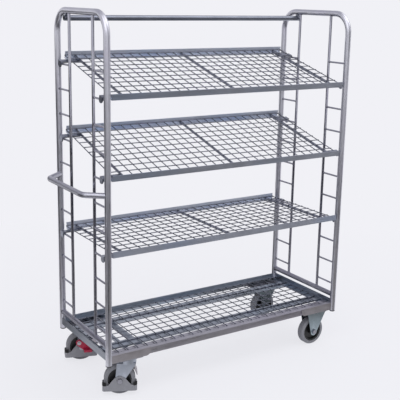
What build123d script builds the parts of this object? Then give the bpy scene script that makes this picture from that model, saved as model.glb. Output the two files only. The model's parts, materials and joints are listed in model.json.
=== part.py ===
from build123d import *
import os
from math import asin, cos, degrees, radians, sin, tan

os.makedirs("parts", exist_ok=True)

# Shelf trolley: two ladder ends, a wire deck, three wire shelves hung on the rungs, and four casters.
# Millimetres. The floor is z = 0, the origin is under the middle of the outline, and +Y is the back.
# The push handle and the two swivel casters are at the left end, -X.

# End hoops, each one bent tube that makes two posts and a top bar
post_spacing = 1143
hoop_depth = 436
hoop_top_z = 1487
hoop_bend = 81
tube_d = 25
tube_wall = 2
post_end_z = 152

# Plugs in the lower ends of the posts
plug_head = 5
plug_length = 20
plug_round = 3

# Ladders: an inner rod and its rungs, between a post and the open middle of the end
rod_d = 12
rod_spacing = 208
rung_d = 8
rung_count = 11
rung_pitch = 100
lowest_rung_z = 278
crossbar_d = 22
crossbar_wall = 2
crossbar_z = 226

# Push handle on the left posts
handle_d = 22
handle_wall = 2
handle_z = 826
handle_reach = 74
handle_width = 314
handle_bend = 38

# Tie bar between the hoops, hung under the top bars just behind the back rods
tie_d = 22
tie_wall = 2
tie_drop = 28.5
tie_rod_gap = 3
lug_width = 13
lug_length = 15

# Deck rails, mesh and bearers
deck_top_z = 185
rail_width = 24
rail_sheet = 3
upstand_height = 13.5
ledge_width = 58
side_rail_setback = 4
side_rail_width = 36
deck_wire = 4
deck_columns = 26
deck_rows = 9
deck_end_margin = 10
bearer_spacing = 230
bearer_width = 49
bearer_sheet = 8
cross_member_sheet = 6
outer_cross_reach = 114
outer_cross_width = 19
inner_cross_reach = 176
inner_cross_width = 27

# Corner brackets, bent sheet under the deck with a skirt over the front or back rail
bracket_sheet = 4
bracket_length = 184
bracket_height = 32
bracket_depth = 78
bracket_corner = 20
bracket_post_gap = 4

# Caster plates and their bolts
caster_height = 156
swivel_inset = 102
fixed_inset = 98
fixed_lean = 13
caster_inset_y = 34
plate_length = 105
plate_depth = 70
plate_sheet = 4
plate_corner = 6
bolt_spacing_x = 86
bolt_spacing_y = 30
bolt_d = 8
bolt_hole_clearance = 0.25
bolt_head_across = 13
bolt_head_height = 5.3
nut_height = 6.5
bolt_tip = 1.5

# Wheels and axles
wheel_d = 125
wheel_width = 32
tyre_depth = 15
tyre_round = 6
core_width = 28
rim_depth = 7
web_width = 8
hub_d = 32
axle_d = 12
axle_head_across = 19
axle_head_height = 7
running_clearance = 0.05
side_clearance = 0.5

# Caster forks
fork_gap = 48
fork_sheet = 3
fork_tip_r = 18
fixed_leg_width = 104
trail = 34
crown_clearance = 6
crown_sheet = 4
leg_heel = 12
leg_toe = 30
race_d = 66
race_cup_d = 70
race_cup_height = 5
race_gap = 0.4
king_pin_d = 12
king_head_d = 20
king_head_height = 4.2

# How far the swivel casters are turned about their king pins where the trolley stands, in degrees
front_turn = -26
back_turn = -20

# Foot guards round the swivel wheels
guard_length = 138
guard_wall = 3
guard_corner = 10
guard_floor_gap = 19
guard_band_height = 24
guard_end_height = 12
guard_ear_r = 20
guard_ear_foot = 46
guard_shoulder_rise = 12.5

# Brake pedals on the inner side of the swivel forks
pedal_travel = 12
pivot_back = 10
pivot_rise = 29.5
pedal_pin_d = 8
pedal_pin_head_d = 11
pedal_pin_head = 3
pedal_hub_d = 18
lever_head_gap = 1.5
lever_sheet = 3
lever_root = 8
shoe_gap = 0.4
shoe_sheet = 4
shoe_span = 25
shoe_overhang = 2
pedal_thickness = 10
pedal_length = 47
pedal_height = 26
pedal_angle = -40
pad_length = 34
pad_height = 9
pad_width = 22

# Shelves: L-section rails, round crossbars with hooks, and a mesh on top
shelf_front_end_gap = 17
shelf_back_end_gap = 27
shelf_depth = 453
shelf_rail_width = 24
shelf_rail_sheet = 2.5
shelf_front_height = 24
shelf_back_height = 28.5
shelf_wire = 4
shelf_columns = 26
shelf_rows = 10
shelf_mesh_end_gap = 24
shelf_bar_d = 10
shelf_bar_inset = 71
weld_depth = 1
hook_spread = 377
hook_width = 24
hook_sheet = 6
hook_rest_gap = 0.3
hook_rung_gap = 0.8
hook_tongue = 5
hook_drop = 15
hook_corner = 7

# Each shelf's back and front rung, counted down from the top one
shelf_rungs = {"top": (0, 1), "middle": (3, 4), "lower": (7, 7)}

# Places along X: the outline runs from the handle to the right posts
left_reach = handle_reach + handle_d / 2
overall_length = left_reach + post_spacing + tube_d / 2
left_x = -overall_length / 2 + left_reach
right_x = left_x + post_spacing
middle_x = (left_x + right_x) / 2
post_y = hoop_depth / 2
post_points = [(x, y) for x in (left_x, right_x) for y in (-post_y, post_y)]

# Places along Y and Z in the deck
leg_inner_y = post_y - rail_sheet
flange_inner_y = post_y - rail_width
bracket_top_z = caster_height + bracket_sheet
mesh_seat_z = deck_top_z - deck_wire
bearer_z = mesh_seat_z - bearer_sheet
cross_member_z = bearer_z - cross_member_sheet
side_rail_face = tube_d / 2 - side_rail_setback
bearer_reach = post_spacing / 2 + side_rail_face - rail_sheet

# Places in the casters
caster_y = post_y - caster_inset_y
left_caster_x = left_x + swivel_inset
right_wheel_x = right_x - fixed_inset
right_plate_x = right_wheel_x + fixed_lean
left_wheel_x = left_caster_x - trail
wheel_r = wheel_d / 2
core_r = wheel_r - tyre_depth
plate_z = caster_height - plate_sheet
fork_inner = fork_gap / 2
fork_outer = fork_inner + fork_sheet
crown_z = wheel_d + crown_clearance
crown_top_z = crown_z + crown_sheet
cup_z = plate_z - race_cup_height
guard_outer = fork_outer + guard_wall
bolt_hole_r = bolt_d / 2 + bolt_hole_clearance

# Places in the brakes, measured outward from the wheel's middle
lever_inner = guard_outer + axle_head_height + lever_head_gap
lever_outer = lever_inner + lever_sheet
pedal_outer = lever_outer + pedal_thickness
pivot_x = left_wheel_x - pivot_back
pivot_z = wheel_r + pivot_rise

# Heights in a shelf, measured up from the middle of the rungs that carry it
hook_under = rung_d / 2 + hook_rest_gap
hook_top = hook_under + hook_sheet
shelf_bar_under = hook_top - weld_depth
shelf_mesh_under = shelf_bar_under + shelf_bar_d
shelf_rail_under = shelf_bar_under - shelf_rail_sheet


def save(piece, name):
    """Label a finished piece and write it to its own file."""
    piece.label = name
    export_step(piece, f"parts/{name}.step")


def side_plane(y):
    """An upright plane at y whose normal points to the front, with X across and Z up."""
    return Plane.XZ.offset(-y)


def rung_z(index):
    """Height of a rung's middle, counted down from the top rung."""
    return lowest_rung_z + (rung_count - 1 - index) * rung_pitch


def make_hoop(x):
    with BuildPart() as hoop:
        with BuildLine(Plane.YZ.offset(x)):
            FilletPolyline(
                (-post_y, post_end_z),
                (-post_y, hoop_top_z),
                (post_y, hoop_top_z),
                (post_y, post_end_z),
                radius=hoop_bend,
            )
        with BuildSketch(Plane.XY.offset(post_end_z)):
            with Locations((x, -post_y)):
                Circle(tube_d / 2)
                Circle(tube_d / 2 - tube_wall, mode=Mode.SUBTRACT)
        sweep()
    return hoop.part


def make_ladder(x, side):
    """The inner rod and the rungs on one side (-1 front, 1 back), ends shaped to the tubes they meet."""
    rod_y = side * rod_spacing / 2
    with BuildPart() as ladder:
        with BuildSketch(Plane.XY.offset(crossbar_z)):
            with Locations((x, rod_y)):
                Circle(rod_d / 2)
        extrude(amount=hoop_top_z - crossbar_z)
        with BuildSketch(side_plane(rod_y)):
            with Locations(*[(x, rung_z(index)) for index in range(rung_count)]):
                Circle(rung_d / 2)
        extrude(amount=-side * (post_y - rod_spacing / 2))
        with Locations((x, side * post_y, hoop_top_z / 2)):
            Cylinder(tube_d / 2, hoop_top_z, mode=Mode.SUBTRACT)
        with Locations((x, rod_y, hoop_top_z)):
            Cylinder(tube_d / 2, 4 * rod_d, rotation=(90, 0, 0), mode=Mode.SUBTRACT)
        with Locations((x, rod_y, crossbar_z)):
            Cylinder(crossbar_d / 2, 4 * rod_d, rotation=(90, 0, 0), mode=Mode.SUBTRACT)
    return ladder.part


def make_crossbar(x):
    with BuildPart() as crossbar:
        with BuildSketch(side_plane(post_y)):
            with Locations((x, crossbar_z)):
                Circle(crossbar_d / 2)
                Circle(crossbar_d / 2 - crossbar_wall, mode=Mode.SUBTRACT)
        extrude(amount=hoop_depth)
        with Locations((x, -post_y, crossbar_z), (x, post_y, crossbar_z)):
            Cylinder(tube_d / 2, 3 * crossbar_d, mode=Mode.SUBTRACT)
    return crossbar.part


# Ends of the trolley
for end, x in (("left", left_x), ("right", right_x)):
    save(make_hoop(x), f"{end}_hoop")
    save(make_ladder(x, -1), f"{end}_front_ladder")
    save(make_ladder(x, 1), f"{end}_back_ladder")
    save(make_crossbar(x), f"{end}_crossbar")

# Rounded plugs, a head under each post and a stem inside it
with BuildPart() as post_plugs:
    with BuildSketch(Plane.XY.offset(post_end_z - plug_head)):
        with Locations(*post_points):
            Circle(tube_d / 2)
    extrude(amount=plug_head)
    with BuildSketch(Plane.XY.offset(post_end_z)):
        with Locations(*post_points):
            Circle(tube_d / 2 - tube_wall)
    extrude(amount=plug_length)
    fillet(post_plugs.edges().group_by(Axis.Z)[0], plug_round)
save(post_plugs.part, "post_plugs")

# Push handle, its ends shaped to the left posts
with BuildPart() as push_handle:
    with BuildLine(Plane.XY.offset(handle_z)) as grip:
        FilletPolyline(
            (left_x, -post_y),
            (left_x - handle_reach, -handle_width / 2),
            (left_x - handle_reach, handle_width / 2),
            (left_x, post_y),
            radius=handle_bend,
        )
    with BuildSketch(Plane(origin=grip.wire() @ 0, z_dir=grip.wire() % 0)):
        Circle(handle_d / 2)
        Circle(handle_d / 2 - handle_wall, mode=Mode.SUBTRACT)
    sweep()
    with Locations((left_x, -post_y, handle_z), (left_x, post_y, handle_z)):
        Cylinder(tube_d / 2, 4 * handle_d, mode=Mode.SUBTRACT)
save(push_handle.part, "push_handle")

# Tie bar with its two lugs, which are shaped to the top bars
tie_y = rod_spacing / 2 + rod_d / 2 + tie_rod_gap + tie_d / 2
tie_z = hoop_top_z - tie_drop
with BuildPart() as tie_bar:
    with BuildSketch(Plane.YZ.offset(left_x - tube_d / 2)):
        with Locations((tie_y, tie_z)):
            Circle(tie_d / 2)
    extrude(amount=post_spacing + tube_d)
    with Locations((left_x, tie_y, tie_z + tie_drop / 2), (right_x, tie_y, tie_z + tie_drop / 2)):
        Box(lug_length, lug_width, tie_drop)
    with BuildSketch(Plane.YZ.offset(left_x - tube_d / 2)):
        with Locations((tie_y, tie_z)):
            Circle(tie_d / 2 - tie_wall)
    extrude(amount=post_spacing + tube_d, mode=Mode.SUBTRACT)
    with Locations((left_x, tie_y, hoop_top_z), (right_x, tie_y, hoop_top_z)):
        Cylinder(tube_d / 2, 4 * lug_width, rotation=(90, 0, 0), mode=Mode.SUBTRACT)
save(tie_bar.part, "tie_bar")


def make_long_rail(side, upstand, ledge):
    """An angle from post to post at the front (-1) or back (1), its leg above the deck by the upstand.

    With a ledge, a second flange of that width lies under the mesh.
    """
    leg_height = deck_top_z + upstand - bracket_top_z
    with BuildPart() as rail:
        with BuildSketch(Plane.YZ.offset(left_x)):
            with Locations((side * (post_y - rail_sheet / 2), bracket_top_z + leg_height / 2)):
                Rectangle(rail_sheet, leg_height)
            with Locations((side * (post_y - rail_width / 2), deck_top_z - rail_sheet / 2)):
                Rectangle(rail_width, rail_sheet)
            if ledge:
                with Locations((side * (post_y - ledge / 2), mesh_seat_z - rail_sheet / 2)):
                    Rectangle(ledge, rail_sheet)
        extrude(amount=post_spacing)
        with Locations((left_x, side * post_y, deck_top_z), (right_x, side * post_y, deck_top_z)):
            Cylinder(tube_d / 2, 4 * rail_width, mode=Mode.SUBTRACT)
    return rail.part


def make_side_rail(x, inward):
    """An angle under the bearers' ends, between two posts (inward 1 at the left end, -1 at the right)."""
    foot_z = bearer_z - rail_sheet
    leg_height = deck_top_z + upstand_height - foot_z
    face_x = x - inward * side_rail_face
    with BuildPart() as rail:
        with BuildSketch(side_plane(leg_inner_y)):
            with Locations((face_x + inward * rail_sheet / 2, foot_z + leg_height / 2)):
                Rectangle(rail_sheet, leg_height)
            with Locations((face_x + inward * side_rail_width / 2, foot_z + rail_sheet / 2)):
                Rectangle(side_rail_width, rail_sheet)
        extrude(amount=2 * leg_inner_y)
        with Locations((x, -post_y, deck_top_z), (x, post_y, deck_top_z)):
            Cylinder(tube_d / 2, 4 * rail_width, mode=Mode.SUBTRACT)
    return rail.part


def make_mesh(plane, length, depth, columns, rows, wire):
    """A welded wire grid as a plate one wire thick with square gaps."""
    column_step = (length - wire) / columns
    row_step = (depth - wire) / rows
    with BuildPart() as mesh:
        with BuildSketch(plane):
            Rectangle(length, depth)
            with GridLocations(column_step, row_step, columns, rows):
                Rectangle(column_step - wire, row_step - wire, mode=Mode.SUBTRACT)
        extrude(amount=wire)
    return mesh.part


# Deck: four rails, flat bars on the side rails, and the mesh on the bars
save(make_long_rail(-1, 0, ledge_width), "front_rail")
save(make_long_rail(1, upstand_height, 0), "back_rail")
save(make_side_rail(left_x, 1), "left_rail")
save(make_side_rail(right_x, -1), "right_rail")

deck_mesh_length = post_spacing - 2 * deck_end_margin
deck_plane = Plane(origin=(middle_x, 0, mesh_seat_z))
deck_mesh = make_mesh(deck_plane, deck_mesh_length, 2 * flange_inner_y, deck_columns, deck_rows, deck_wire)
save(deck_mesh, "deck_mesh")

with BuildPart() as deck_bearers:
    with BuildSketch(Plane.XY.offset(bearer_z)):
        with Locations((middle_x, -bearer_spacing / 2), (middle_x, bearer_spacing / 2)):
            Rectangle(2 * bearer_reach, bearer_width)
    extrude(amount=bearer_sheet)
    with BuildSketch(Plane.XY.offset(cross_member_z)):
        with Locations((left_x + outer_cross_reach, 0)):
            Rectangle(outer_cross_width, 2 * leg_inner_y)
        with Locations((left_x + inner_cross_reach, 0)):
            Rectangle(inner_cross_width, 2 * leg_inner_y)
    extrude(amount=cross_member_sheet)
save(deck_bearers.part, "deck_bearers")


def make_bracket(x, inward, side, plate_x):
    """A corner bracket: a skirt against the long rail, and a plate with bolt holes about plate_x."""
    end_x = x + inward * bracket_length
    plate_start = end_x - inward * bracket_corner
    plate_end = x + inward * (tube_d / 2 + bracket_post_gap)
    skirt_y = side * (post_y + bracket_sheet)
    with BuildPart() as bracket:
        with BuildSketch(side_plane(max(skirt_y, side * post_y))) as skirt:
            with Locations(((x + end_x) / 2, caster_height + bracket_height / 2)):
                Rectangle(bracket_length, bracket_height)
            low_corners = skirt.vertices().group_by(Axis.Y)[0].sort_by(Axis.X)
            fillet(low_corners[-1] if inward > 0 else low_corners[0], bracket_corner)
        extrude(amount=bracket_sheet)
        with BuildSketch(Plane.XY.offset(caster_height)):
            with Locations(((plate_start + plate_end) / 2, skirt_y - side * bracket_depth / 2)):
                Rectangle(abs(plate_end - plate_start), bracket_depth)
            with Locations((plate_x, side * caster_y)):
                with GridLocations(bolt_spacing_x, bolt_spacing_y, 2, 2):
                    Circle(bolt_hole_r, mode=Mode.SUBTRACT)
        extrude(amount=bracket_sheet)
        with Locations((x, side * post_y, caster_height)):
            Cylinder(tube_d / 2, 4 * bracket_height, mode=Mode.SUBTRACT)
    return bracket.part


def make_fixed_fork(x, y):
    """A fixed caster's plate with two tapered legs, which lean from the plate to the axle at x."""
    plate_x = x + fixed_lean
    with BuildPart() as fork:
        with BuildSketch(Plane.XY.offset(plate_z)):
            with Locations((plate_x, y)):
                RectangleRounded(plate_length, plate_depth, plate_corner)
                with GridLocations(bolt_spacing_x, bolt_spacing_y, 2, 2):
                    Circle(bolt_hole_r, mode=Mode.SUBTRACT)
        extrude(amount=plate_sheet)
        for leg_y in (y - fork_inner, y + fork_outer):
            with BuildSketch(side_plane(leg_y)):
                with BuildLine():
                    Polyline(
                        (plate_x - fixed_leg_width / 2, plate_z),
                        (plate_x + fixed_leg_width / 2, plate_z),
                        (x + fork_tip_r, wheel_r),
                        (x - fork_tip_r, wheel_r),
                        close=True,
                    )
                make_face()
                with Locations((x, wheel_r)):
                    Circle(fork_tip_r)
                    Circle(axle_d / 2, mode=Mode.SUBTRACT)
            extrude(amount=fork_sheet)
    return fork.part


def make_axles(points, seat):
    """Axle bolts with a head and a nut, seated at the given distance each side of the wheel's middle."""
    with BuildPart() as axles:
        for x, y in points:
            with BuildSketch(side_plane(y + seat)):
                with Locations((x, wheel_r)):
                    Circle(axle_d / 2)
            extrude(amount=2 * seat)
            for head_y in (y + seat + axle_head_height, y - seat):
                with BuildSketch(side_plane(head_y)):
                    with Locations((x, wheel_r)):
                        RegularPolygon(axle_head_across / 2, 6, major_radius=False)
                extrude(amount=axle_head_height)
    return axles.part


def make_top_plate(x, y):
    """A swivel caster's bolted plate with the upper cup of its race."""
    with BuildPart() as plate:
        with BuildSketch(Plane.XY.offset(plate_z)):
            with Locations((x, y)):
                RectangleRounded(plate_length, plate_depth, plate_corner)
                with GridLocations(bolt_spacing_x, bolt_spacing_y, 2, 2):
                    Circle(bolt_hole_r, mode=Mode.SUBTRACT)
        extrude(amount=plate_sheet)
        with BuildSketch(Plane.XY.offset(cup_z)):
            with Locations((x, y)):
                Circle(race_cup_d / 2)
        extrude(amount=race_cup_height)
        with Locations((x, y, plate_z)):
            Cylinder(king_pin_d / 2, 4 * race_cup_height, mode=Mode.SUBTRACT)
    return plate.part


def make_swivel_fork(x, y, inner):
    """A swivel fork: race and crown round the king pin, and two legs that trail to the axle.

    inner is the direction along Y to the trolley's middle, where the pedal's pin is.
    """
    wheel_x = x - trail
    with BuildPart() as fork:
        with BuildSketch(Plane.XY.offset(crown_z)):
            with Locations(((wheel_x - leg_heel + x + leg_toe) / 2, y)):
                Rectangle(trail + leg_heel + leg_toe, 2 * fork_outer)
            with Locations((x, y)):
                Circle(race_d / 2)
        extrude(amount=crown_sheet)
        with BuildSketch(Plane.XY.offset(crown_top_z)):
            with Locations((x, y)):
                Circle(race_d / 2)
        extrude(amount=cup_z - race_gap - crown_top_z)
        for leg_y in (y - fork_inner, y + fork_outer):
            with BuildSketch(side_plane(leg_y)):
                with BuildLine():
                    Polyline(
                        (wheel_x - leg_heel, crown_z),
                        (x + leg_toe, crown_z),
                        (wheel_x + fork_tip_r, wheel_r),
                        (wheel_x - fork_tip_r, wheel_r),
                        close=True,
                    )
                make_face()
                with Locations((wheel_x, wheel_r)):
                    Circle(fork_tip_r)
                    Circle(axle_d / 2, mode=Mode.SUBTRACT)
            extrude(amount=fork_sheet)
        with Locations((x, y, crown_top_z)):
            Cylinder(king_pin_d / 2 + running_clearance, wheel_r, mode=Mode.SUBTRACT)
        with Locations((pivot_x, y + inner * fork_outer, pivot_z)):
            Cylinder(pedal_pin_d / 2, 2 * fork_sheet, rotation=(90, 0, 0), mode=Mode.SUBTRACT)
    return fork.part


def make_guard(x, y):
    """A foot guard: a skirt round the wheel, low across its ends, with an ear each side on the axle."""
    band_z = guard_floor_gap + guard_band_height
    half = guard_length / 2
    right_side = [
        (half, guard_floor_gap),
        (half, band_z),
        (guard_ear_foot, band_z),
        (guard_ear_r, wheel_r + guard_shoulder_rise),
    ]
    left_side = [(-dx, z) for dx, z in reversed(right_side)]
    with BuildPart() as guard:
        with BuildSketch(Plane.XY.offset(guard_floor_gap)):
            with Locations((x, y)):
                RectangleRounded(guard_length, 2 * guard_outer, guard_corner)
                RectangleRounded(
                    guard_length - 2 * guard_wall,
                    2 * fork_outer,
                    guard_corner - guard_wall,
                    mode=Mode.SUBTRACT,
                )
        extrude(amount=wheel_r + guard_ear_r - guard_floor_gap)
        with BuildSketch(side_plane(y + guard_outer)):
            with BuildLine():
                Polyline(*[(x + dx, z) for dx, z in right_side + left_side], close=True)
            make_face()
            with Locations((x, wheel_r)):
                Circle(guard_ear_r)
        extrude(amount=2 * guard_outer, mode=Mode.INTERSECT)
        with Locations((x, y, wheel_r)):
            Cylinder(axle_d / 2, 4 * guard_outer, rotation=(90, 0, 0), mode=Mode.SUBTRACT)
        with Locations((x, y, guard_floor_gap + guard_end_height)):
            Box(
                2 * guard_length, 2 * (guard_outer - guard_corner), guard_band_height,
                align=(Align.CENTER, Align.CENTER, Align.MIN), mode=Mode.SUBTRACT,
            )
    return guard.part


def make_pedal_pin(y, inner):
    """A pin fixed in the fork's inner leg, with a head outside the pedal."""
    tip = pedal_outer + race_gap
    with BuildPart() as pin:
        with BuildSketch(side_plane(y + inner * fork_inner)):
            with Locations((pivot_x, pivot_z)):
                Circle(pedal_pin_d / 2)
        extrude(amount=-inner * (tip - fork_inner))
        with BuildSketch(side_plane(y + inner * tip)):
            with Locations((pivot_x, pivot_z)):
                Circle(pedal_pin_head_d / 2)
        extrude(amount=-inner * pedal_pin_head)
    return pin.part


def lever_plane(y):
    """The lever's own plane at rest: origin on the pin, X level when the pedal is pressed."""
    rest = radians(pedal_travel)
    return Plane(origin=(pivot_x, y, pivot_z), x_dir=(cos(rest), 0, sin(rest)), z_dir=(0, -1, 0))


def make_brake_lever(y, inner):
    """A hub on the pin, a flat arm, and a shoe across the tread that fits it when the pedal is pressed."""
    wheel_middle = (pivot_back, -pivot_rise)
    shoe_r = wheel_r + shoe_gap
    hub_start = fork_outer + race_gap
    with BuildPart() as lever:
        with BuildSketch(lever_plane(y + inner * lever_inner)):
            with BuildLine():
                back = CenterArc(wheel_middle, shoe_r + shoe_sheet, 0, shoe_span)
                Polyline(back @ 1, (0, lever_root), (0, -lever_root), back @ 0)
            make_face()
        extrude(amount=-inner * lever_sheet)
        with BuildSketch(lever_plane(y + inner * lever_outer)):
            with BuildLine():
                face = CenterArc(wheel_middle, shoe_r, 0, shoe_span)
                back = CenterArc(wheel_middle, shoe_r + shoe_sheet, 0, shoe_span)
                Line(face @ 0, back @ 0)
                Line(face @ 1, back @ 1)
            make_face()
        extrude(amount=inner * (lever_outer + wheel_width / 2 - shoe_overhang))
        with BuildSketch(lever_plane(y + inner * hub_start)):
            Circle(pedal_hub_d / 2)
        extrude(amount=-inner * (pedal_outer - hub_start))
        with BuildSketch(lever_plane(y + inner * hub_start)):
            Circle(pedal_pin_d / 2 + running_clearance)
        extrude(amount=-inner * (pedal_outer - hub_start), mode=Mode.SUBTRACT)
    return lever.part


def make_pedal(y, inner):
    """A plastic side plate over the lever's hub, sloping down to a foot pad."""
    slope = pedal_angle - pedal_travel
    reach = (pedal_length * cos(radians(slope)), pedal_length * sin(radians(slope)))
    with BuildPart() as pedal:
        with BuildSketch(lever_plane(y + inner * lever_outer)):
            with Locations((reach[0] / 2, reach[1] / 2)):
                SlotCenterToCenter(pedal_length, pedal_height, rotation=slope)
            Circle(pedal_hub_d / 2, mode=Mode.SUBTRACT)
        extrude(amount=-inner * pedal_thickness)
        with BuildSketch(lever_plane(y + inner * lever_outer)):
            with Locations(reach):
                Rectangle(pad_length, pad_height, rotation=-pedal_travel)
        extrude(amount=-inner * (pedal_thickness + pad_width))
    return pedal.part


def make_core(x, y):
    """A wheel core: hub, web and rim."""
    with BuildPart() as core:
        with BuildSketch(side_plane(y)):
            with Locations((x, wheel_r)):
                Circle(core_r)
                Circle(core_r - rim_depth, mode=Mode.SUBTRACT)
        extrude(amount=core_width / 2, both=True)
        with BuildSketch(side_plane(y)):
            with Locations((x, wheel_r)):
                Circle(core_r - rim_depth)
        extrude(amount=web_width / 2, both=True)
        with BuildSketch(side_plane(y)):
            with Locations((x, wheel_r)):
                Circle(hub_d / 2)
        extrude(amount=fork_inner - side_clearance, both=True)
        with Locations((x, y, wheel_r)):
            Cylinder(axle_d / 2 + running_clearance, 2 * fork_gap, rotation=(90, 0, 0), mode=Mode.SUBTRACT)
    return core.part


def make_tyre(x, y):
    with BuildPart() as tyre:
        with BuildSketch(side_plane(y)):
            with Locations((x, wheel_r)):
                Circle(wheel_r)
                Circle(core_r, mode=Mode.SUBTRACT)
        extrude(amount=wheel_width / 2, both=True)
        shoulders = tyre.edges().filter_by(GeomType.CIRCLE).group_by(SortBy.RADIUS)[-1]
        fillet(shoulders, tyre_round)
    return tyre.part


# Corners: a bracket, a caster and its wheel at each, with the left casters turned on their king pins
for place, side, turn in (("front", -1, front_turn), ("back", 1, back_turn)):
    y = side * caster_y
    save(make_bracket(left_x, 1, side, left_caster_x), f"{place}_left_bracket")
    save(make_bracket(right_x, -1, side, right_plate_x), f"{place}_right_bracket")
    save(make_fixed_fork(right_wheel_x, y), f"{place}_right_fork")
    save(make_top_plate(left_caster_x, y), f"{place}_left_top_plate")
    save(make_core(right_wheel_x, y), f"{place}_right_core")
    save(make_tyre(right_wheel_x, y), f"{place}_right_tyre")
    swivel_pieces = {
        "fork": make_swivel_fork(left_caster_x, y, -side),
        "guard": make_guard(left_wheel_x, y),
        "axle": make_axles([(left_wheel_x, y)], guard_outer),
        "pedal_pin": make_pedal_pin(y, -side),
        "brake_lever": make_brake_lever(y, -side),
        "pedal": make_pedal(y, -side),
        "core": make_core(left_wheel_x, y),
        "tyre": make_tyre(left_wheel_x, y),
    }
    king_axis = Axis((left_caster_x, y, 0), (0, 0, 1))
    for name, piece in swivel_pieces.items():
        save(piece.rotate(king_axis, turn), f"{place}_left_{name}")

right_axles = make_axles([(right_wheel_x, -caster_y), (right_wheel_x, caster_y)], fork_outer)
save(right_axles, "right_axles")

# King pins, flush with the plates, with a head under each swivel crown
king_head_z = crown_z - race_gap - king_head_height
with BuildPart() as king_pins:
    with BuildSketch(Plane.XY.offset(king_head_z)):
        with Locations((left_caster_x, -caster_y), (left_caster_x, caster_y)):
            Circle(king_head_d / 2)
    extrude(amount=king_head_height)
    with BuildSketch(Plane.XY.offset(king_head_z)):
        with Locations((left_caster_x, -caster_y), (left_caster_x, caster_y)):
            Circle(king_pin_d / 2)
    extrude(amount=caster_height - king_head_z)
save(king_pins.part, "king_pins")

# Bolts up through the caster plates and the brackets, each with its nut
bolt_points = [
    (x + dx * bolt_spacing_x / 2, y + dy * bolt_spacing_y / 2)
    for x in (left_caster_x, right_plate_x)
    for y in (-caster_y, caster_y)
    for dx in (-1, 1)
    for dy in (-1, 1)
]
with BuildPart() as caster_bolts:
    for hex_z, hex_height in ((plate_z - bolt_head_height, bolt_head_height), (bracket_top_z, nut_height)):
        with BuildSketch(Plane.XY.offset(hex_z)):
            with Locations(*bolt_points):
                RegularPolygon(bolt_head_across / 2, 6, major_radius=False)
        extrude(amount=hex_height)
    with BuildSketch(Plane.XY.offset(plate_z)):
        with Locations(*bolt_points):
            Circle(bolt_d / 2)
    extrude(amount=bracket_top_z + nut_height + bolt_tip - plate_z)
save(caster_bolts.part, "caster_bolts")


def make_shelf_rail(base, side, height, end_gap):
    """An L-section along the front (-1) or back (1) edge of a shelf, its flange under the crossbars."""
    length = post_spacing - 2 * end_gap
    edge = shelf_depth / 2
    outline = [
        (edge, shelf_rail_under),
        (edge, shelf_rail_under + height),
        (edge - shelf_rail_sheet, shelf_rail_under + height),
        (edge - shelf_rail_sheet, shelf_bar_under),
        (edge - shelf_rail_width, shelf_bar_under),
        (edge - shelf_rail_width, shelf_rail_under),
    ]
    start = base.origin - base.x_dir * (length / 2)
    with BuildPart() as rail:
        with BuildSketch(Plane(origin=start, x_dir=base.y_dir, z_dir=base.x_dir)):
            with BuildLine():
                Polyline(*[(side * depth, up) for depth, up in outline], close=True)
            make_face()
        extrude(amount=length)
    return rail.part


def make_shelf_crossbars(base):
    """Three round bars from rail to rail, with four flat hooks that reach over the rungs."""
    bar_x = post_spacing / 2 - shelf_bar_inset
    bar_reach = shelf_depth / 2 - shelf_rail_sheet
    tongue_in = post_spacing / 2 + rung_d / 2 + hook_rung_gap
    tongue_out = tongue_in + hook_tongue
    hook_outline = [
        (bar_x, hook_under),
        (tongue_in, hook_under),
        (tongue_in, -hook_drop),
        (tongue_out, -hook_drop),
        (tongue_out, hook_top),
        (bar_x, hook_top),
    ]
    with BuildPart() as crossbars:
        back = base.origin + base.y_dir * bar_reach
        with BuildSketch(Plane(origin=back, x_dir=base.x_dir, z_dir=-base.y_dir)):
            with Locations(*[(x, shelf_bar_under + shelf_bar_d / 2) for x in (-bar_x, 0, bar_x)]):
                Circle(shelf_bar_d / 2)
        extrude(amount=2 * bar_reach)
        for hook_y in (-hook_spread / 2, hook_spread / 2):
            face = base.origin + base.y_dir * (hook_y + hook_width / 2)
            for end in (-1, 1):
                with BuildSketch(Plane(origin=face, x_dir=base.x_dir, z_dir=-base.y_dir)):
                    with BuildLine():
                        Polyline(*[(end * x, up) for x, up in hook_outline], close=True)
                    make_face()
                extrude(amount=hook_width)
        across = crossbars.edges().filter_by(Axis.X)
        chamfer(across.filter_by(lambda edge: abs(edge.length - hook_tongue) < 0.01), hook_corner)
    return crossbars.part


# Shelves, level or tilted to the front by the rungs that they hang on
for level, (back_rung, front_rung) in shelf_rungs.items():
    tilt = asin((rung_z(back_rung) - rung_z(front_rung)) / hook_spread)
    edge_lift = hook_width / 2 * tan(tilt) + rung_d / 2 * (1 / cos(tilt) - 1)
    base = Plane(
        origin=(middle_x, 0, (rung_z(back_rung) + rung_z(front_rung)) / 2),
        x_dir=(1, 0, 0),
        z_dir=(0, -sin(tilt), cos(tilt)),
    ).offset(edge_lift)
    mesh_length = post_spacing - 2 * shelf_mesh_end_gap
    mesh_depth = shelf_depth - 2 * shelf_rail_sheet
    mesh_plane = base.offset(shelf_mesh_under)
    mesh = make_mesh(mesh_plane, mesh_length, mesh_depth, shelf_columns, shelf_rows, shelf_wire)
    save(mesh, f"{level}_shelf_mesh")
    front_rail = make_shelf_rail(base, -1, shelf_front_height, shelf_front_end_gap)
    save(front_rail, f"{level}_shelf_front_rail")
    back_rail = make_shelf_rail(base, 1, shelf_back_height, shelf_back_end_gap)
    save(back_rail, f"{level}_shelf_back_rail")
    save(make_shelf_crossbars(base), f"{level}_shelf_crossbars")
    print(f"{level} shelf tilts {degrees(tilt):.1f} degrees")
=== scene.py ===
import json
from math import cos, pi, radians, sin

import bmesh
import bpy
from mathutils import Matrix, Vector


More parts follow.
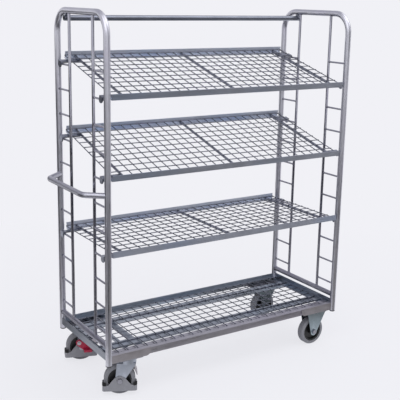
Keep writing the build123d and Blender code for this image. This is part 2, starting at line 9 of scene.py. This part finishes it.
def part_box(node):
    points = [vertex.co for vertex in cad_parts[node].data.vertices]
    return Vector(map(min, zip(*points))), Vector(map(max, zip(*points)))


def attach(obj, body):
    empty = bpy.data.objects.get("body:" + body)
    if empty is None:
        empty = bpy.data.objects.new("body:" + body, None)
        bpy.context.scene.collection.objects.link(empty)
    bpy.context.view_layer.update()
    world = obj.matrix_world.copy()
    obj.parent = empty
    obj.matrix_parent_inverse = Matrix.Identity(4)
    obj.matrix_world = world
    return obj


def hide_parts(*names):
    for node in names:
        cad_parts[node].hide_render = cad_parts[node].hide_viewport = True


# Shelf trolley: two tube ends, a wire deck on casters, and three wire shelves that hang on rungs.
# The frame is loaded first and keeps every size and place. Lengths are in metres, and +Z is up.
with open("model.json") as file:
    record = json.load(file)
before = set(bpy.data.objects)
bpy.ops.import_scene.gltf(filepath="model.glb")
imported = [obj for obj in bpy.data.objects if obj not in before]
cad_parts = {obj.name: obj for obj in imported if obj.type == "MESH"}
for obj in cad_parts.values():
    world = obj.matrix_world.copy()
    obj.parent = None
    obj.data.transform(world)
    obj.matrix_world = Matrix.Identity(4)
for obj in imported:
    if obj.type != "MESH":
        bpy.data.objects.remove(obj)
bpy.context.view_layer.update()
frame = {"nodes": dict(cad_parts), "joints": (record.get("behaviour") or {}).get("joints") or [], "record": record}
nodes = frame["nodes"]


# Hoops: round steel tube, bent into two posts and a top bar, then zinc plated.
# The bright blue passivated plating gives a mid grey, faintly violet metal with soft clouds in it,
# and the drawn tube under it leaves fine lines along its length.
def linear(colour):
    """A hex colour in sRGB as linear red, green, blue and alpha."""
    parts = [int(colour[i:i + 2], 16) / 255 for i in (1, 3, 5)]
    return [p / 12.92 if p <= 0.04045 else ((p + 0.055) / 1.055) ** 2.4 for p in parts] + [1.0]


# A mix node's colour sockets share their names with others, so they go by number.
colour_a, colour_b, mixed_colour = 6, 7, 2


def add(tree, kind, inputs=None, **settings):
    """Add a node with its settings. An input is a value, or an output of another node to link."""
    node = tree.nodes.new(kind)
    for name, value in settings.items():
        setattr(node, name, value)
    for socket, value in (inputs or {}).items():
        if isinstance(value, bpy.types.NodeSocket):
            tree.links.new(value, node.inputs[socket])
        else:
            node.inputs[socket].default_value = value
    return node


def new_material(name):
    """An empty node material and its tree."""
    material = bpy.data.materials.new(name)
    material.use_nodes = True
    material.node_tree.nodes.clear()
    return material, material.node_tree


def finish_material(tree, shader):
    """Link the last shader to the material's output."""
    add(tree, "ShaderNodeOutputMaterial", {"Surface": shader.outputs[0]})


def zinc_plate(name, deep, pale, tint, smooth, rough, cloud_mm, lines_mm):
    """Zinc plating from its deep, pale and tinted colours and its least and greatest roughness.

    cloud_mm is the size of the clouds in the plating, and tinted patches are four times as large.
    lines_mm is the length of the drawing lines along X, Y and Z.
    The plating's crystals are too fine to show, so its grit is drawn 1.6 mm coarse.
    """
    grit_mm = 1.6
    material, tree = new_material(name)
    place = add(tree, "ShaderNodeTexCoord").outputs["Object"]
    clouds = add(tree, "ShaderNodeTexNoise", {
        "Vector": place, "Scale": 1000 / cloud_mm, "Detail": 4.0, "Roughness": 0.6})
    grey = add(tree, "ShaderNodeMix", {
        "Factor": clouds.outputs[0], colour_a: linear(deep), colour_b: linear(pale)}, data_type="RGBA")
    patches = add(tree, "ShaderNodeTexNoise", {"Vector": place, "Scale": 250 / cloud_mm, "Detail": 2.0})
    patch = add(tree, "ShaderNodeMapRange", {
        "Value": patches.outputs[0], "From Min": 0.48, "From Max": 0.68, "To Min": 0.0, "To Max": 0.55})
    colour = add(tree, "ShaderNodeMix", {
        "Factor": patch.outputs[0], colour_a: grey.outputs[mixed_colour], colour_b: linear(tint)},
        data_type="RGBA")
    along = add(tree, "ShaderNodeMapping", {
        "Vector": place, "Scale": [1000 / length for length in lines_mm]})
    lines = add(tree, "ShaderNodeTexNoise", {"Vector": along.outputs[0], "Scale": 1.0, "Detail": 3.0})
    gloss = add(tree, "ShaderNodeMapRange", {
        "Value": lines.outputs[0], "From Min": 0.3, "From Max": 0.7, "To Min": smooth, "To Max": rough})
    grit = add(tree, "ShaderNodeTexNoise", {"Vector": place, "Scale": 1000 / grit_mm, "Detail": 2.0})
    relief = add(tree, "ShaderNodeMath", {0: lines.outputs[0], 1: grit.outputs[0]}, operation="ADD")
    bump = add(tree, "ShaderNodeBump", {
        "Height": relief.outputs[0], "Strength": 0.12, "Distance": 0.0004})
    metal = add(tree, "ShaderNodeBsdfPrincipled", {
        "Base Color": colour.outputs[mixed_colour], "Roughness": gloss.outputs[0],
        "Normal": bump.outputs[0], "Metallic": 1.0})
    finish_material(tree, metal)
    return material


def coat(material, *names):
    """Give CAD nodes a finish."""
    for name in names:
        nodes[name].data.materials.clear()
        nodes[name].data.materials.append(material)


upright_tube = zinc_plate(
    "bright_zinc_on_upright_tube", "#C0C0C8", "#E0E0E7", "#C6C2D2", 0.26, 0.42, 60, (3, 3, 120))
coat(upright_tube, "left_hoop", "right_hoop")


# Ladders: a drawn rod with eleven rungs on each post, all welded before plating.
# Drawn rod takes the plating as a near mirror, so it shows thin dark and pale lines.
# The small fillets of weld metal where rungs meet rod and post stay dull under the plating.
ladder_wire = zinc_plate(
    "bright_zinc_on_drawn_rod", "#9E9EA8", "#C2C2CB", "#ADAABC", 0.08, 0.18, 40, (4, 4, 80))
ladders = [f"{end}_{side}_ladder" for end in ("left", "right") for side in ("front", "back")]
coat(ladder_wire, *ladders)

weld_metal = zinc_plate(
    "zinc_over_weld_metal", "#66666F", "#8A8A93", "#7C7A88", 0.42, 0.62, 5, (6, 6, 6))


def piece_from(name, mesh, material, body):
    """Turn a finished bmesh into a piece that rides on a body."""
    data = bpy.data.meshes.new(name)
    mesh.to_mesh(data)
    mesh.free()
    data.materials.append(material)
    piece = bpy.data.objects.new(name, data)
    bpy.context.scene.collection.objects.link(piece)
    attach(piece, body)
    return piece


def add_bead(mesh, centre, radius, thickness, around=16, across=8):
    """Add a bead of weld metal: a ring round a bar that runs along Y, with five slight swells."""
    swells, swell_share = 5, 0.12
    turn = Vector((0, 1, 0)).to_track_quat("Z", "Y").to_matrix()
    rows = []
    for i in range(around):
        angle = 2 * pi * i / around
        out = Vector((cos(angle), sin(angle), 0))
        swell = thickness * (1 + swell_share * sin(swells * angle))
        row = []
        for j in range(across):
            lean = 2 * pi * j / across
            point = out * (radius + swell * cos(lean)) + Vector((0, 0, swell * sin(lean)))
            row.append(mesh.verts.new(Vector(centre) + turn @ point))
        rows.append(row)
    for i in range(around):
        near, far = rows[i], rows[(i + 1) % around]
        for j in range(across):
            face = mesh.faces.new((near[j], far[j], far[(j + 1) % across], near[(j + 1) % across]))
            face.smooth = True


post_r = 0.0125
rod_r = 0.006
rung_r = 0.004
rung_count = 11
rung_pitch = 0.100
lowest_rung_z = 0.278
rung_bead_rise = 0.0004
rung_bead_thickness = 0.0011
for ladder in ladders:
    low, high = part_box(ladder)
    x = (low.x + high.x) / 2
    side = 1 if low.y > 0 else -1
    rod_edge = min(abs(low.y), abs(high.y)) + 2 * rod_r
    post_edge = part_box(f"{ladder.split('_')[0]}_hoop")[1].y - 2 * post_r
    beads = bmesh.new()
    for rung in range(rung_count):
        z = lowest_rung_z + rung * rung_pitch
        for edge in (rod_edge, post_edge):
            add_bead(beads, (x, side * edge, z), rung_r + rung_bead_rise, rung_bead_thickness)
    piece_from(f"{ladder}_welds", beads, weld_metal, "frame")


# Crossbars: round tube between the two posts of each end, just over the deck, with the rods on top.
# They are welded all round at both ends, and their zinc is drawn darker than the hoops' as painted shade for the
# dark they reflect.
painted_shade_low_tube = zinc_plate(
    "zinc_with_painted_shade_on_low_tube", "#90909A", "#B4B4BE", "#9E9BAA", 0.26, 0.42, 60, (3, 120, 3))
coat(painted_shade_low_tube, "left_crossbar", "right_crossbar")

tube_bead_inset = 0.003
tube_bead_r = 0.0113
tube_bead_thickness = 0.0016
tube_beads = bmesh.new()
for end in ("left", "right"):
    low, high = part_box(f"{end}_crossbar")
    for y in (low.y + tube_bead_inset, high.y - tube_bead_inset):
        centre = ((low.x + high.x) / 2, y, (low.z + high.z) / 2)
        add_bead(tube_beads, centre, tube_bead_r, tube_bead_thickness, around=28)
piece_from("crossbar_welds", tube_beads, weld_metal, "frame")


# Push handle: round tube with two bends, welded to the posts of the left end.
# Its plating is drawn a little darker than that of the hoops.
handle_tube = zinc_plate(
    "bright_zinc_on_crosswise_tube", "#A4A4AE", "#C8C8D0", "#AFABBD", 0.26, 0.42, 60, (3, 120, 3))
coat(handle_tube, "push_handle")


# Tie bar: round tube between the two ends, welded by a lug at each end under the top bars.
# Its zinc is drawn a darker, cooler grey than the hoops' as painted shade that dims its highlight, with drawing
# lines along its length.
painted_shade_tie_tube = zinc_plate(
    "zinc_with_painted_shade_on_tie_tube", "#7A7E89", "#9B9FAA", "#868899", 0.3, 0.46, 60, (120, 3, 3))
coat(painted_shade_tie_tube, "tie_bar")


# Post plugs: black polyethylene, moulded with a rounded head, pushed into the open tube ends.
# Moulded polyethylene is dull and slightly waxy, with scuffs that show paler.
def moulded(name, colour, scuff, roughness, ior, grain_mm):
    """Moulded plastic or rubber with a spark-eroded grain and paler scuffs of about 14 mm.

    The real grain is too fine to show, so grain_mm is drawn several times as coarse.
    """
    scuff_mm = 14
    material, tree = new_material(name)
    place = add(tree, "ShaderNodeTexCoord").outputs["Object"]
    wear = add(tree, "ShaderNodeTexNoise", {
        "Vector": place, "Scale": 1000 / scuff_mm, "Detail": 6.0, "Roughness": 0.7})
    rubbed = add(tree, "ShaderNodeMapRange", {
        "Value": wear.outputs[0], "From Min": 0.5, "From Max": 0.78, "To Min": 0.0, "To Max": 0.6})
    blend = add(tree, "ShaderNodeMix", {
        "Factor": rubbed.outputs[0], colour_a: linear(colour), colour_b: linear(scuff)},
        data_type="RGBA")
    dull = add(tree, "ShaderNodeMapRange", {
        "Value": wear.outputs[0], "From Min": 0.3, "From Max": 0.75,
        "To Min": roughness - 0.07, "To Max": roughness + 0.12})
    grain = add(tree, "ShaderNodeTexNoise", {"Vector": place, "Scale": 1000 / grain_mm, "Detail": 3.0})
    bump = add(tree, "ShaderNodeBump", {
        "Height": grain.outputs[0], "Strength": 0.2, "Distance": 0.0003})
    plastic = add(tree, "ShaderNodeBsdfPrincipled", {
        "Base Color": blend.outputs[mixed_colour], "Roughness": dull.outputs[0],
        "Normal": bump.outputs[0], "IOR": ior})
    finish_material(tree, plastic)
    return material


plug_plastic = moulded("black_polyethylene", "#2A2A2E", "#45454A", 0.5, 1.51, 1.2)
coat(plug_plastic, "post_plugs")


# Deck rails and bearers: cold-rolled angle all round, and flat bars between the end rails.
# The rolling leaves lines along them. Their zinc is drawn darker than on the hoops as painted shade,
# darkest on the left rail, the front rail a warm grey, and a painted blue reflection on those facing inward.
painted_shade_front_rail = zinc_plate(
    "zinc_with_painted_shade_on_front_section", "#A5A3AB", "#C6C4CB", "#B1ACBA", 0.26, 0.42, 70, (150, 4, 4))
coat(painted_shade_front_rail, "front_rail")

painted_blue_inner_section = zinc_plate(
    "zinc_with_painted_blue_reflection_on_inner_section", "#949BA5", "#B5BCC6", "#9BA8B8", 0.26, 0.42, 70, (150, 4, 4))
coat(painted_blue_inner_section, "back_rail", "deck_bearers")

# Painted shade: the left rail is drawn darkest of the rails.
painted_shade_left_rail = zinc_plate(
    "zinc_with_painted_shade_on_left_section", "#82868E", "#A4A8B0", "#8A92A0", 0.28, 0.44, 70, (4, 150, 4))
coat(painted_shade_left_rail, "left_rail")

# The right rail faces inward, so it is drawn paler and bluer as a painted reflection.
painted_blue_right_rail = zinc_plate(
    "zinc_with_painted_blue_reflection_on_right_section", "#A4ABB5", "#C5CCD6", "#AAB7C7", 0.28, 0.44, 70, (4, 150, 4))
coat(painted_blue_right_rail, "right_rail")


# Deck grid: 4 mm drawn wires, crosswise over lengthwise, spot welded where they cross.
# The grid lies on the bearers. Its zinc is drawn darker than the tube's as painted shade, with small clouds.
painted_shade_grid_wire = zinc_plate(
    "zinc_with_painted_shade_on_grid_wire", "#696C76", "#92959F", "#807F94", 0.2, 0.36, 30, (12, 12, 12))
wire_d = 0.004
weld_sink = 0.001
deck_columns = 26
deck_rows = 9


def add_wire(mesh, start, end, radius, sides=10, bevel_share=0.3):
    """Add a straight round wire with a small bevel at each cut end."""
    run = end - start
    turn = run.to_track_quat("Z", "Y").to_matrix()
    bevel = radius * bevel_share
    cut_r = radius - bevel
    rings = []
    for along, size in ((0, cut_r), (bevel, radius), (run.length - bevel, radius), (run.length, cut_r)):
        ring = []
        for i in range(sides):
            angle = 2 * pi * i / sides
            point = Vector((size * cos(angle), size * sin(angle), along))
            ring.append(mesh.verts.new(start + turn @ point))
        rings.append(ring)
    for near, far in zip(rings, rings[1:]):
        for i in range(sides):
            face = mesh.faces.new((near[i], near[(i + 1) % sides], far[(i + 1) % sides], far[i]))
            face.smooth = True
    mesh.faces.new(reversed(rings[0]))
    mesh.faces.new(rings[-1])


def wire_grid(name, node, body, mount, length, depth, columns, rows, crosswise_above):
    """A welded grid of round wires in place of a mesh node, with its middle on a mount.

    The lengthwise wires fill the node's own thickness.
    The crosswise ones lie over or under them, sunk in by the weld.
    """
    up = Vector(mount["axis"])
    across = up.cross(Vector((1, 0, 0)))
    half_length = Vector((length / 2, 0, 0))
    half_depth = across * (depth / 2)
    middle = Vector(mount["pos_m"]) - up * (wire_d / 2)
    side = 1 if crosswise_above else -1
    offset = up * side * (wire_d - weld_sink)
    grid = bmesh.new()
    for i in range(rows + 1):
        line = middle + across * ((depth - wire_d) * (i / rows - 0.5))
        add_wire(grid, line - half_length, line + half_length, wire_d / 2)
    for i in range(columns + 1):
        line = middle + offset + Vector(((length - wire_d) * (i / columns - 0.5), 0, 0))
        add_wire(grid, line - half_depth, line + half_depth, wire_d / 2)
    piece = piece_from(name, grid, painted_shade_grid_wire, body)
    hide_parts(node)


mounts = {mount["name"]: mount for mount in frame["record"]["mounts"]}
low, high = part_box("deck_mesh")
wire_grid(
    "deck_grid", "deck_mesh", "frame", mounts["deck_top"],
    high.x - low.x, high.y - low.y, deck_columns, deck_rows, True)


# Corner brackets: pressed sheet, bent into a skirt and a plate, with the casters bolted on below.
# The pressed sheet is duller than the rolled sections and shows smaller, warmer clouds.
pressed_sheet = zinc_plate(
    "zinc_on_pressed_sheet", "#A5A1A5", "#C2BEC2", "#B0A9B2", 0.36, 0.52, 45, (40, 12, 12))
places = ("front", "back")
coat(pressed_sheet, *[f"{place}_{end}_bracket" for place in places for end in ("left", "right")])


# Bolts, king pins and axles: cold-headed steel, zinc plated in a barrel.
# Tumbling leaves them a little darker than the sheet, with small clouds and a finer shine.
bolt_zinc = zinc_plate(
    "bright_zinc_on_bolts", "#85858E", "#A9A9B0", "#97949F", 0.22, 0.4, 12, (3, 3, 3))
coat(bolt_zinc, "caster_bolts", "king_pins", "right_axles")
coat(bolt_zinc, *[f"{place}_left_axle" for place in places])


# Casters: pressed forks and plates in bright zinc, fixed at the right and swivelling at the left.
# The forks are deep drawn, so their plating has a cooler, smoother shine than the brackets.
fixed_fork = zinc_plate(
    "cool_zinc_on_fixed_forks", "#8A969D", "#B0BCC2", "#94A6AE", 0.24, 0.4, 35, (12, 12, 50))
coat(fixed_fork, *[f"{place}_right_fork" for place in places])

swivel_fork = zinc_plate(
    "cool_zinc_on_swivel_forks", "#969CA6", "#BEC3CD", "#A4A9B8", 0.24, 0.4, 35, (12, 12, 50))
coat(swivel_fork, *[f"{place}_left_{name}" for place in places for name in ("fork", "top_plate")])


# Wheels: grey non-marking rubber bonded to black polypropylene cores.
# Rubber is dull and picks up dust on its shoulders. The cores are moulded with a satin face.
tyre_rubber = moulded("grey_rubber", "#84848A", "#9C9CA0", 0.78, 1.52, 1.8)
core_plastic = moulded("black_polypropylene", "#141417", "#2A2A2D", 0.42, 1.49, 1.2)
for place in places:
    for end in ("left", "right"):
        coat(tyre_rubber, f"{place}_{end}_tyre")
        coat(core_plastic, f"{place}_{end}_core")


# Foot guards: grey polypropylene skirts round the swivel wheels, low across their ends.
# A black rubber tip is pushed over the two corners on each guard's front side, and takes the knocks.
guard_plastic = moulded("grey_polypropylene", "#8C8C92", "#A2A2A7", 0.5, 1.49, 1.4)
tip_rubber = moulded("black_rubber", "#0F0F11", "#262629", 0.78, 1.52, 1.6)
turns = {"front": radians(-26), "back": radians(-20)}
swivels = {joint["child"]: joint for joint in frame["joints"]}
trail = 0.034
guard_half_length = 0.069
guard_half_width = 0.030
guard_corner = 0.010
guard_corner_steps = 6
guard_wall = 0.003
tip_low = 0.0415
tip_high = 0.0572
tip_reach = 0.054
tip_skin = 0.0008
tip_bevel = 0.0014
tip_crease = radians(40)


def caster_frame(place):
    """The king pin's frame with X to the front of the caster, as the caster stands."""
    pin = Vector(swivels[f"{place}_left_swivel"]["pos_m"])
    return Matrix.Translation((pin.x, pin.y, 0)) @ Matrix.Rotation(turns[place], 4, "Z")


def tip_line(grow):
    """The plan outline of a guard's corner, from its side round to its end, grown by an offset."""
    radius = guard_corner + grow
    points = [(tip_reach, -guard_half_width - grow)]
    for step in range(guard_corner_steps + 1):
        angle = radians(90 * step / guard_corner_steps - 90)
        points.append((
            guard_half_length - guard_corner + radius * cos(angle),
            guard_corner - guard_half_width + radius * sin(angle)))
    return points


for place in places:
    coat(guard_plastic, f"{place}_left_guard")
    seat = caster_frame(place) @ Matrix.Translation((-trail, 0, 0))
    tips = bmesh.new()
    for end in (-1, 1):
        columns = []
        for (ox, oy), (ix, iy) in zip(tip_line(tip_skin), tip_line(-guard_wall - tip_skin)):
            corners = ((ox, oy, tip_low), (ox, oy, tip_high), (ix, iy, tip_high), (ix, iy, tip_low))
            columns.append([tips.verts.new(seat @ Vector((end * px, py, pz))) for px, py, pz in corners])
        for near, far in zip(columns, columns[1:]):
            for i in range(4):
                tips.faces.new((near[i], near[(i + 1) % 4], far[(i + 1) % 4], far[i]))
        tips.faces.new(columns[0])
        tips.faces.new(reversed(columns[-1]))
    bmesh.ops.recalc_face_normals(tips, faces=tips.faces)
    sharp = [edge for edge in tips.edges if edge.calc_face_angle() > tip_crease]
    bmesh.ops.bevel(tips, geom=sharp, offset=tip_bevel, segments=3, profile=0.5, affect="EDGES")
    for face in tips.faces:
        face.smooth = True
    piece_from(f"{place}_left_tips", tips, tip_rubber, f"{place}_left_swivel")


# Brakes: red glass-filled nylon pedals, moulded over pressed steel levers that turn on a pin.
# Nylon has a satin shine, and the ribs for the sole of a shoe are rubbed paler by use.
coat(pressed_sheet, *[f"{place}_left_{name}" for place in places for name in ("brake_lever", "pedal_pin")])
pedal_plastic = moulded("red_nylon", "#B01A40", "#C24764", 0.4, 1.53, 1.2)
pad_rise = 0.0663
pad_middle = -0.008
pad_near = 0.053
pad_far = 0.071
rib_count = 5
rib_pitch = 0.006
rib_r = 0.0011
for place, inner in (("front", 1), ("back", -1)):
    coat(pedal_plastic, f"{place}_left_pedal")
    seat = caster_frame(place)
    ribs = bmesh.new()
    for i in range(rib_count):
        x = pad_middle + (i - (rib_count - 1) / 2) * rib_pitch
        start, end = [seat @ Vector((x, inner * y, pad_rise)) for y in (pad_near, pad_far)]
        add_wire(ribs, start, end, rib_r)
    piece_from(f"{place}_left_pedal_ribs", ribs, pedal_plastic, f"{place}_left_brake")


# Shelves: rolled angle along the front and back edges, round bars across, and a welded grid on the bars.
# The angle is bluer and duller than the tube, with rolling lines along it; painted light makes the back rails
# palest.
# Its grid is that of the deck with the crosswise wires below, and its bars are darker.
# The front angle is the same section drawn darker, as painted shade.
painted_shade_front_angle = zinc_plate(
    "zinc_with_painted_shade_on_front_angle", "#B0B4C0", "#D2D6E1", "#ACBCD6", 0.46, 0.64, 80, (200, 4, 4))
painted_light_back_angle = zinc_plate(
    "zinc_with_painted_light_on_back_angle", "#D2D8E6", "#F0F4FC", "#C6D6F0", 0.46, 0.64, 80, (200, 4, 4))
shelf_bar = zinc_plate(
    "blue_zinc_on_round_bar", "#838692", "#A8ACB7", "#9193A6", 0.24, 0.4, 40, (6, 60, 6))
shelf_grid_depth = 0.448
shelf_columns = 26
shelf_rows = 10
for level in ("top", "middle", "lower"):
    coat(painted_shade_front_angle, f"{level}_shelf_front_rail")
    coat(painted_light_back_angle, f"{level}_shelf_back_rail")
    coat(shelf_bar, f"{level}_shelf_crossbars")
    low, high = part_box(f"{level}_shelf_mesh")
    wire_grid(
        f"{level}_shelf_grid", f"{level}_shelf_mesh", f"{level}_shelf", mounts[f"{level}_shelf_top"],
        high.x - low.x, shelf_grid_depth, shelf_columns, shelf_rows, False)


# Studio: a pale floor that fades into a pale background, and a sky that dims upward in reflections.
# One large soft lamp from the front left, one from the right, and even light from all round.
background = linear("#F1F1F6")
upper_sky = linear("#BCBCC6")
cool_white = linear("#FAFCFF")


def seen_straight(tree):
    """1 for rays from the camera, a reflection or clear glass, and 0 for light that falls on the object."""
    rays = add(tree, "ShaderNodeLightPath").outputs
    direct = add(
        tree, "ShaderNodeMath", {0: rays["Is Camera Ray"], 1: rays["Is Glossy Ray"]}, operation="MAXIMUM")
    clear = add(
        tree, "ShaderNodeMath", {0: direct.outputs[0], 1: rays["Is Transmission Ray"]}, operation="MAXIMUM")
    return clear.outputs[0]


world = bpy.data.worlds.new("pale_studio")
bpy.context.scene.world = world
world.use_nodes = True
sky = world.node_tree
sky.nodes.clear()
even_light = add(sky, "ShaderNodeBackground", {"Color": cool_white, "Strength": 0.6})
outlook = add(sky, "ShaderNodeTexCoord").outputs["Generated"]
height = add(sky, "ShaderNodeSeparateXYZ", {"Vector": outlook}).outputs["Z"]
dimming = add(sky, "ShaderNodeMapRange", {
    "Value": height, "From Min": 0.12, "From Max": 0.5, "To Min": 0.0, "To Max": 1.0})
sky_tone = add(sky, "ShaderNodeMix", {
    "Factor": dimming.outputs[0], colour_a: background, colour_b: upper_sky}, data_type="RGBA")
pale_sky = add(sky, "ShaderNodeBackground", {"Color": sky_tone.outputs[mixed_colour], "Strength": 1.0})
sky_mix = add(sky, "ShaderNodeMixShader", {
    0: seen_straight(sky), 1: even_light.outputs[0], 2: pale_sky.outputs[0]})
add(sky, "ShaderNodeOutputWorld", {"Surface": sky_mix.outputs[0]})

floor_material, tree = new_material("pale_studio_floor")
spot = add(tree, "ShaderNodeTexCoord").outputs["Object"]
distance = add(tree, "ShaderNodeVectorMath", {0: spot}, operation="LENGTH").outputs["Value"]
fade = add(tree, "ShaderNodeMapRange", {
    "Value": distance, "From Min": 0.8, "From Max": 2.4, "To Min": 0.18, "To Max": 0.0})
lit_floor = add(tree, "ShaderNodeBsdfDiffuse", {"Color": background})
pale_floor = add(tree, "ShaderNodeEmission", {"Color": background, "Strength": 1.0})
shaded = add(tree, "ShaderNodeMixShader", {
    0: fade.outputs[0], 1: pale_floor.outputs[0], 2: lit_floor.outputs[0]})
floor_mix = add(tree, "ShaderNodeMixShader", {
    0: seen_straight(tree), 1: lit_floor.outputs[0], 2: shaded.outputs[0]})
finish_material(tree, floor_mix)


def sheet(name, corners, material):
    """A flat four-cornered sheet of the studio, which isn't part of the trolley."""
    sheet_mesh = bpy.data.meshes.new(name)
    sheet_mesh.from_pydata(corners, [], [(0, 1, 2, 3)])
    sheet_mesh.materials.append(material)
    flat = bpy.data.objects.new(name, sheet_mesh)
    bpy.context.scene.collection.objects.link(flat)
    return flat


floor_reach = 30
floor_corners = [(x * floor_reach, y * floor_reach, 0) for x, y in ((-1, -1), (1, -1), (1, 1), (-1, 1))]
sheet("studio_floor", floor_corners, floor_material)


def soft_lamp(name, place, aim, size, power):
    """A square area lamp at a place, turned to a point."""
    lamp = bpy.data.lights.new(name, "AREA")
    lamp.size = size
    lamp.energy = power
    holder = bpy.data.objects.new(name, lamp)
    holder.location = place
    holder.rotation_euler = (Vector(aim) - Vector(place)).to_track_quat("-Z", "Y").to_euler()
    bpy.context.scene.collection.objects.link(holder)


trolley_middle = (0, 0, 0.7)
soft_lamp("front_left_lamp", (-2.6, -2.2, 4.6), trolley_middle, size=5.0, power=92)
soft_lamp("right_lamp", (2.4, -1.2, 4.8), trolley_middle, size=4.0, power=80)


# Felt cards: black and grey felt, laid on the floor and stood up round the trolley, outside the picture.
# Only reflections show them, as the dark lines that a studio's flags leave along bright metal.
def felt(name, deep, pale):
    """Felt in two close tones, with fluff of about 40 mm."""
    fluff_mm = 40
    material, tree = new_material(name)
    place = add(tree, "ShaderNodeTexCoord").outputs["Object"]
    fluff = add(tree, "ShaderNodeTexNoise", {"Vector": place, "Scale": 1000 / fluff_mm, "Detail": 3.0})
    tone = add(tree, "ShaderNodeMix", {
        "Factor": fluff.outputs[0], colour_a: linear(deep), colour_b: linear(pale)}, data_type="RGBA")
    finish_material(tree, add(tree, "ShaderNodeBsdfDiffuse", {"Color": tone.outputs[mixed_colour]}))
    return material


black_felt = felt("black_felt", "#28282C", "#36363B")
grey_felt = felt("grey_felt", "#7C7A78", "#8C8A88")


def dark_card(name, card_felt, *corners):
    """A felt card. A corner is an angle in degrees from +X, a distance from the middle, and a height."""
    points = [(out * cos(radians(angle)), out * sin(radians(angle)), up) for angle, out, up in corners]
    card = sheet(name, points, card_felt)
    card.visible_camera = False
    card.visible_diffuse = False
    card.visible_shadow = False


lying = 0.010
lying_over = 0.012
dark_card(
    "left_card", black_felt,
    (190, 2.3, lying), (135, 2.3, lying), (135, 2.3, 1.1), (190, 2.3, 1.1))
dark_card(
    "back_left_card", black_felt,
    (135, 2.3, 0.8), (98, 2.3, 0.8), (98, 2.3, 1.35), (135, 2.3, 1.35))
dark_card(
    "front_card", black_felt,
    (212, 0.9, lying), (336, 0.98, lying), (332, 14.0, lying), (195, 14.0, lying))
dark_card(
    "near_card", grey_felt,
    (214.4, 0.849, lying_over), (335, 0.993, lying_over), (335, 3.42, lying_over), (248.7, 1.93, lying_over))
dark_card(
    "back_card", black_felt,
    (153, 0.78, lying), (30, 0.7, lying), (60, 1.84, lying), (122, 1.89, lying))
dark_card(
    "far_back_card", black_felt,
    (118, 1.9, lying), (60, 1.9, lying), (62, 7.0, lying), (99, 7.0, lying))
dark_card(
    "left_floor_card", grey_felt,
    (136.5, 1.38, lying_over), (152, 2.25, lying_over), (191, 2.25, lying_over), (206, 1.06, lying_over))
dark_card(
    "under_card", black_felt,
    (18, 0.38, lying_over), (8, 0.91, lying_over), (350, 0.91, lying_over), (336, 0.39, lying_over))
dark_card(
    "right_card", black_felt,
    (277, 2.3, 1.2), (326, 3.0, 1.2), (326, 3.0, 1.7), (277, 2.3, 1.7))


# Camera: at the photograph's place, height and lens, with its slight roll and its frame a little off centre.
# These were worked out from the posts, rungs and rails, and everything is in focus.
camera_data = bpy.data.cameras.new("camera")
camera_data.sensor_width = 36
camera_data.lens = 73.38
camera_data.shift_x = -0.00678
camera_data.shift_y = -0.0460
camera = bpy.data.objects.new("camera", camera_data)
stand = Vector((-1.8375, -2.8435, 1.5549))
heading, pitch, roll = radians(33.202), radians(-12.9), radians(1.171)
camera.matrix_world = (
    Matrix.Translation(stand)
    @ Matrix.Rotation(-heading, 4, "Z")
    @ Matrix.Rotation(pi / 2 + pitch, 4, "X")
    @ Matrix.Rotation(roll, 4, "Z")
)
bpy.context.scene.collection.objects.link(camera)
bpy.context.scene.camera = camera
bpy.context.scene.view_settings.view_transform = "Standard"
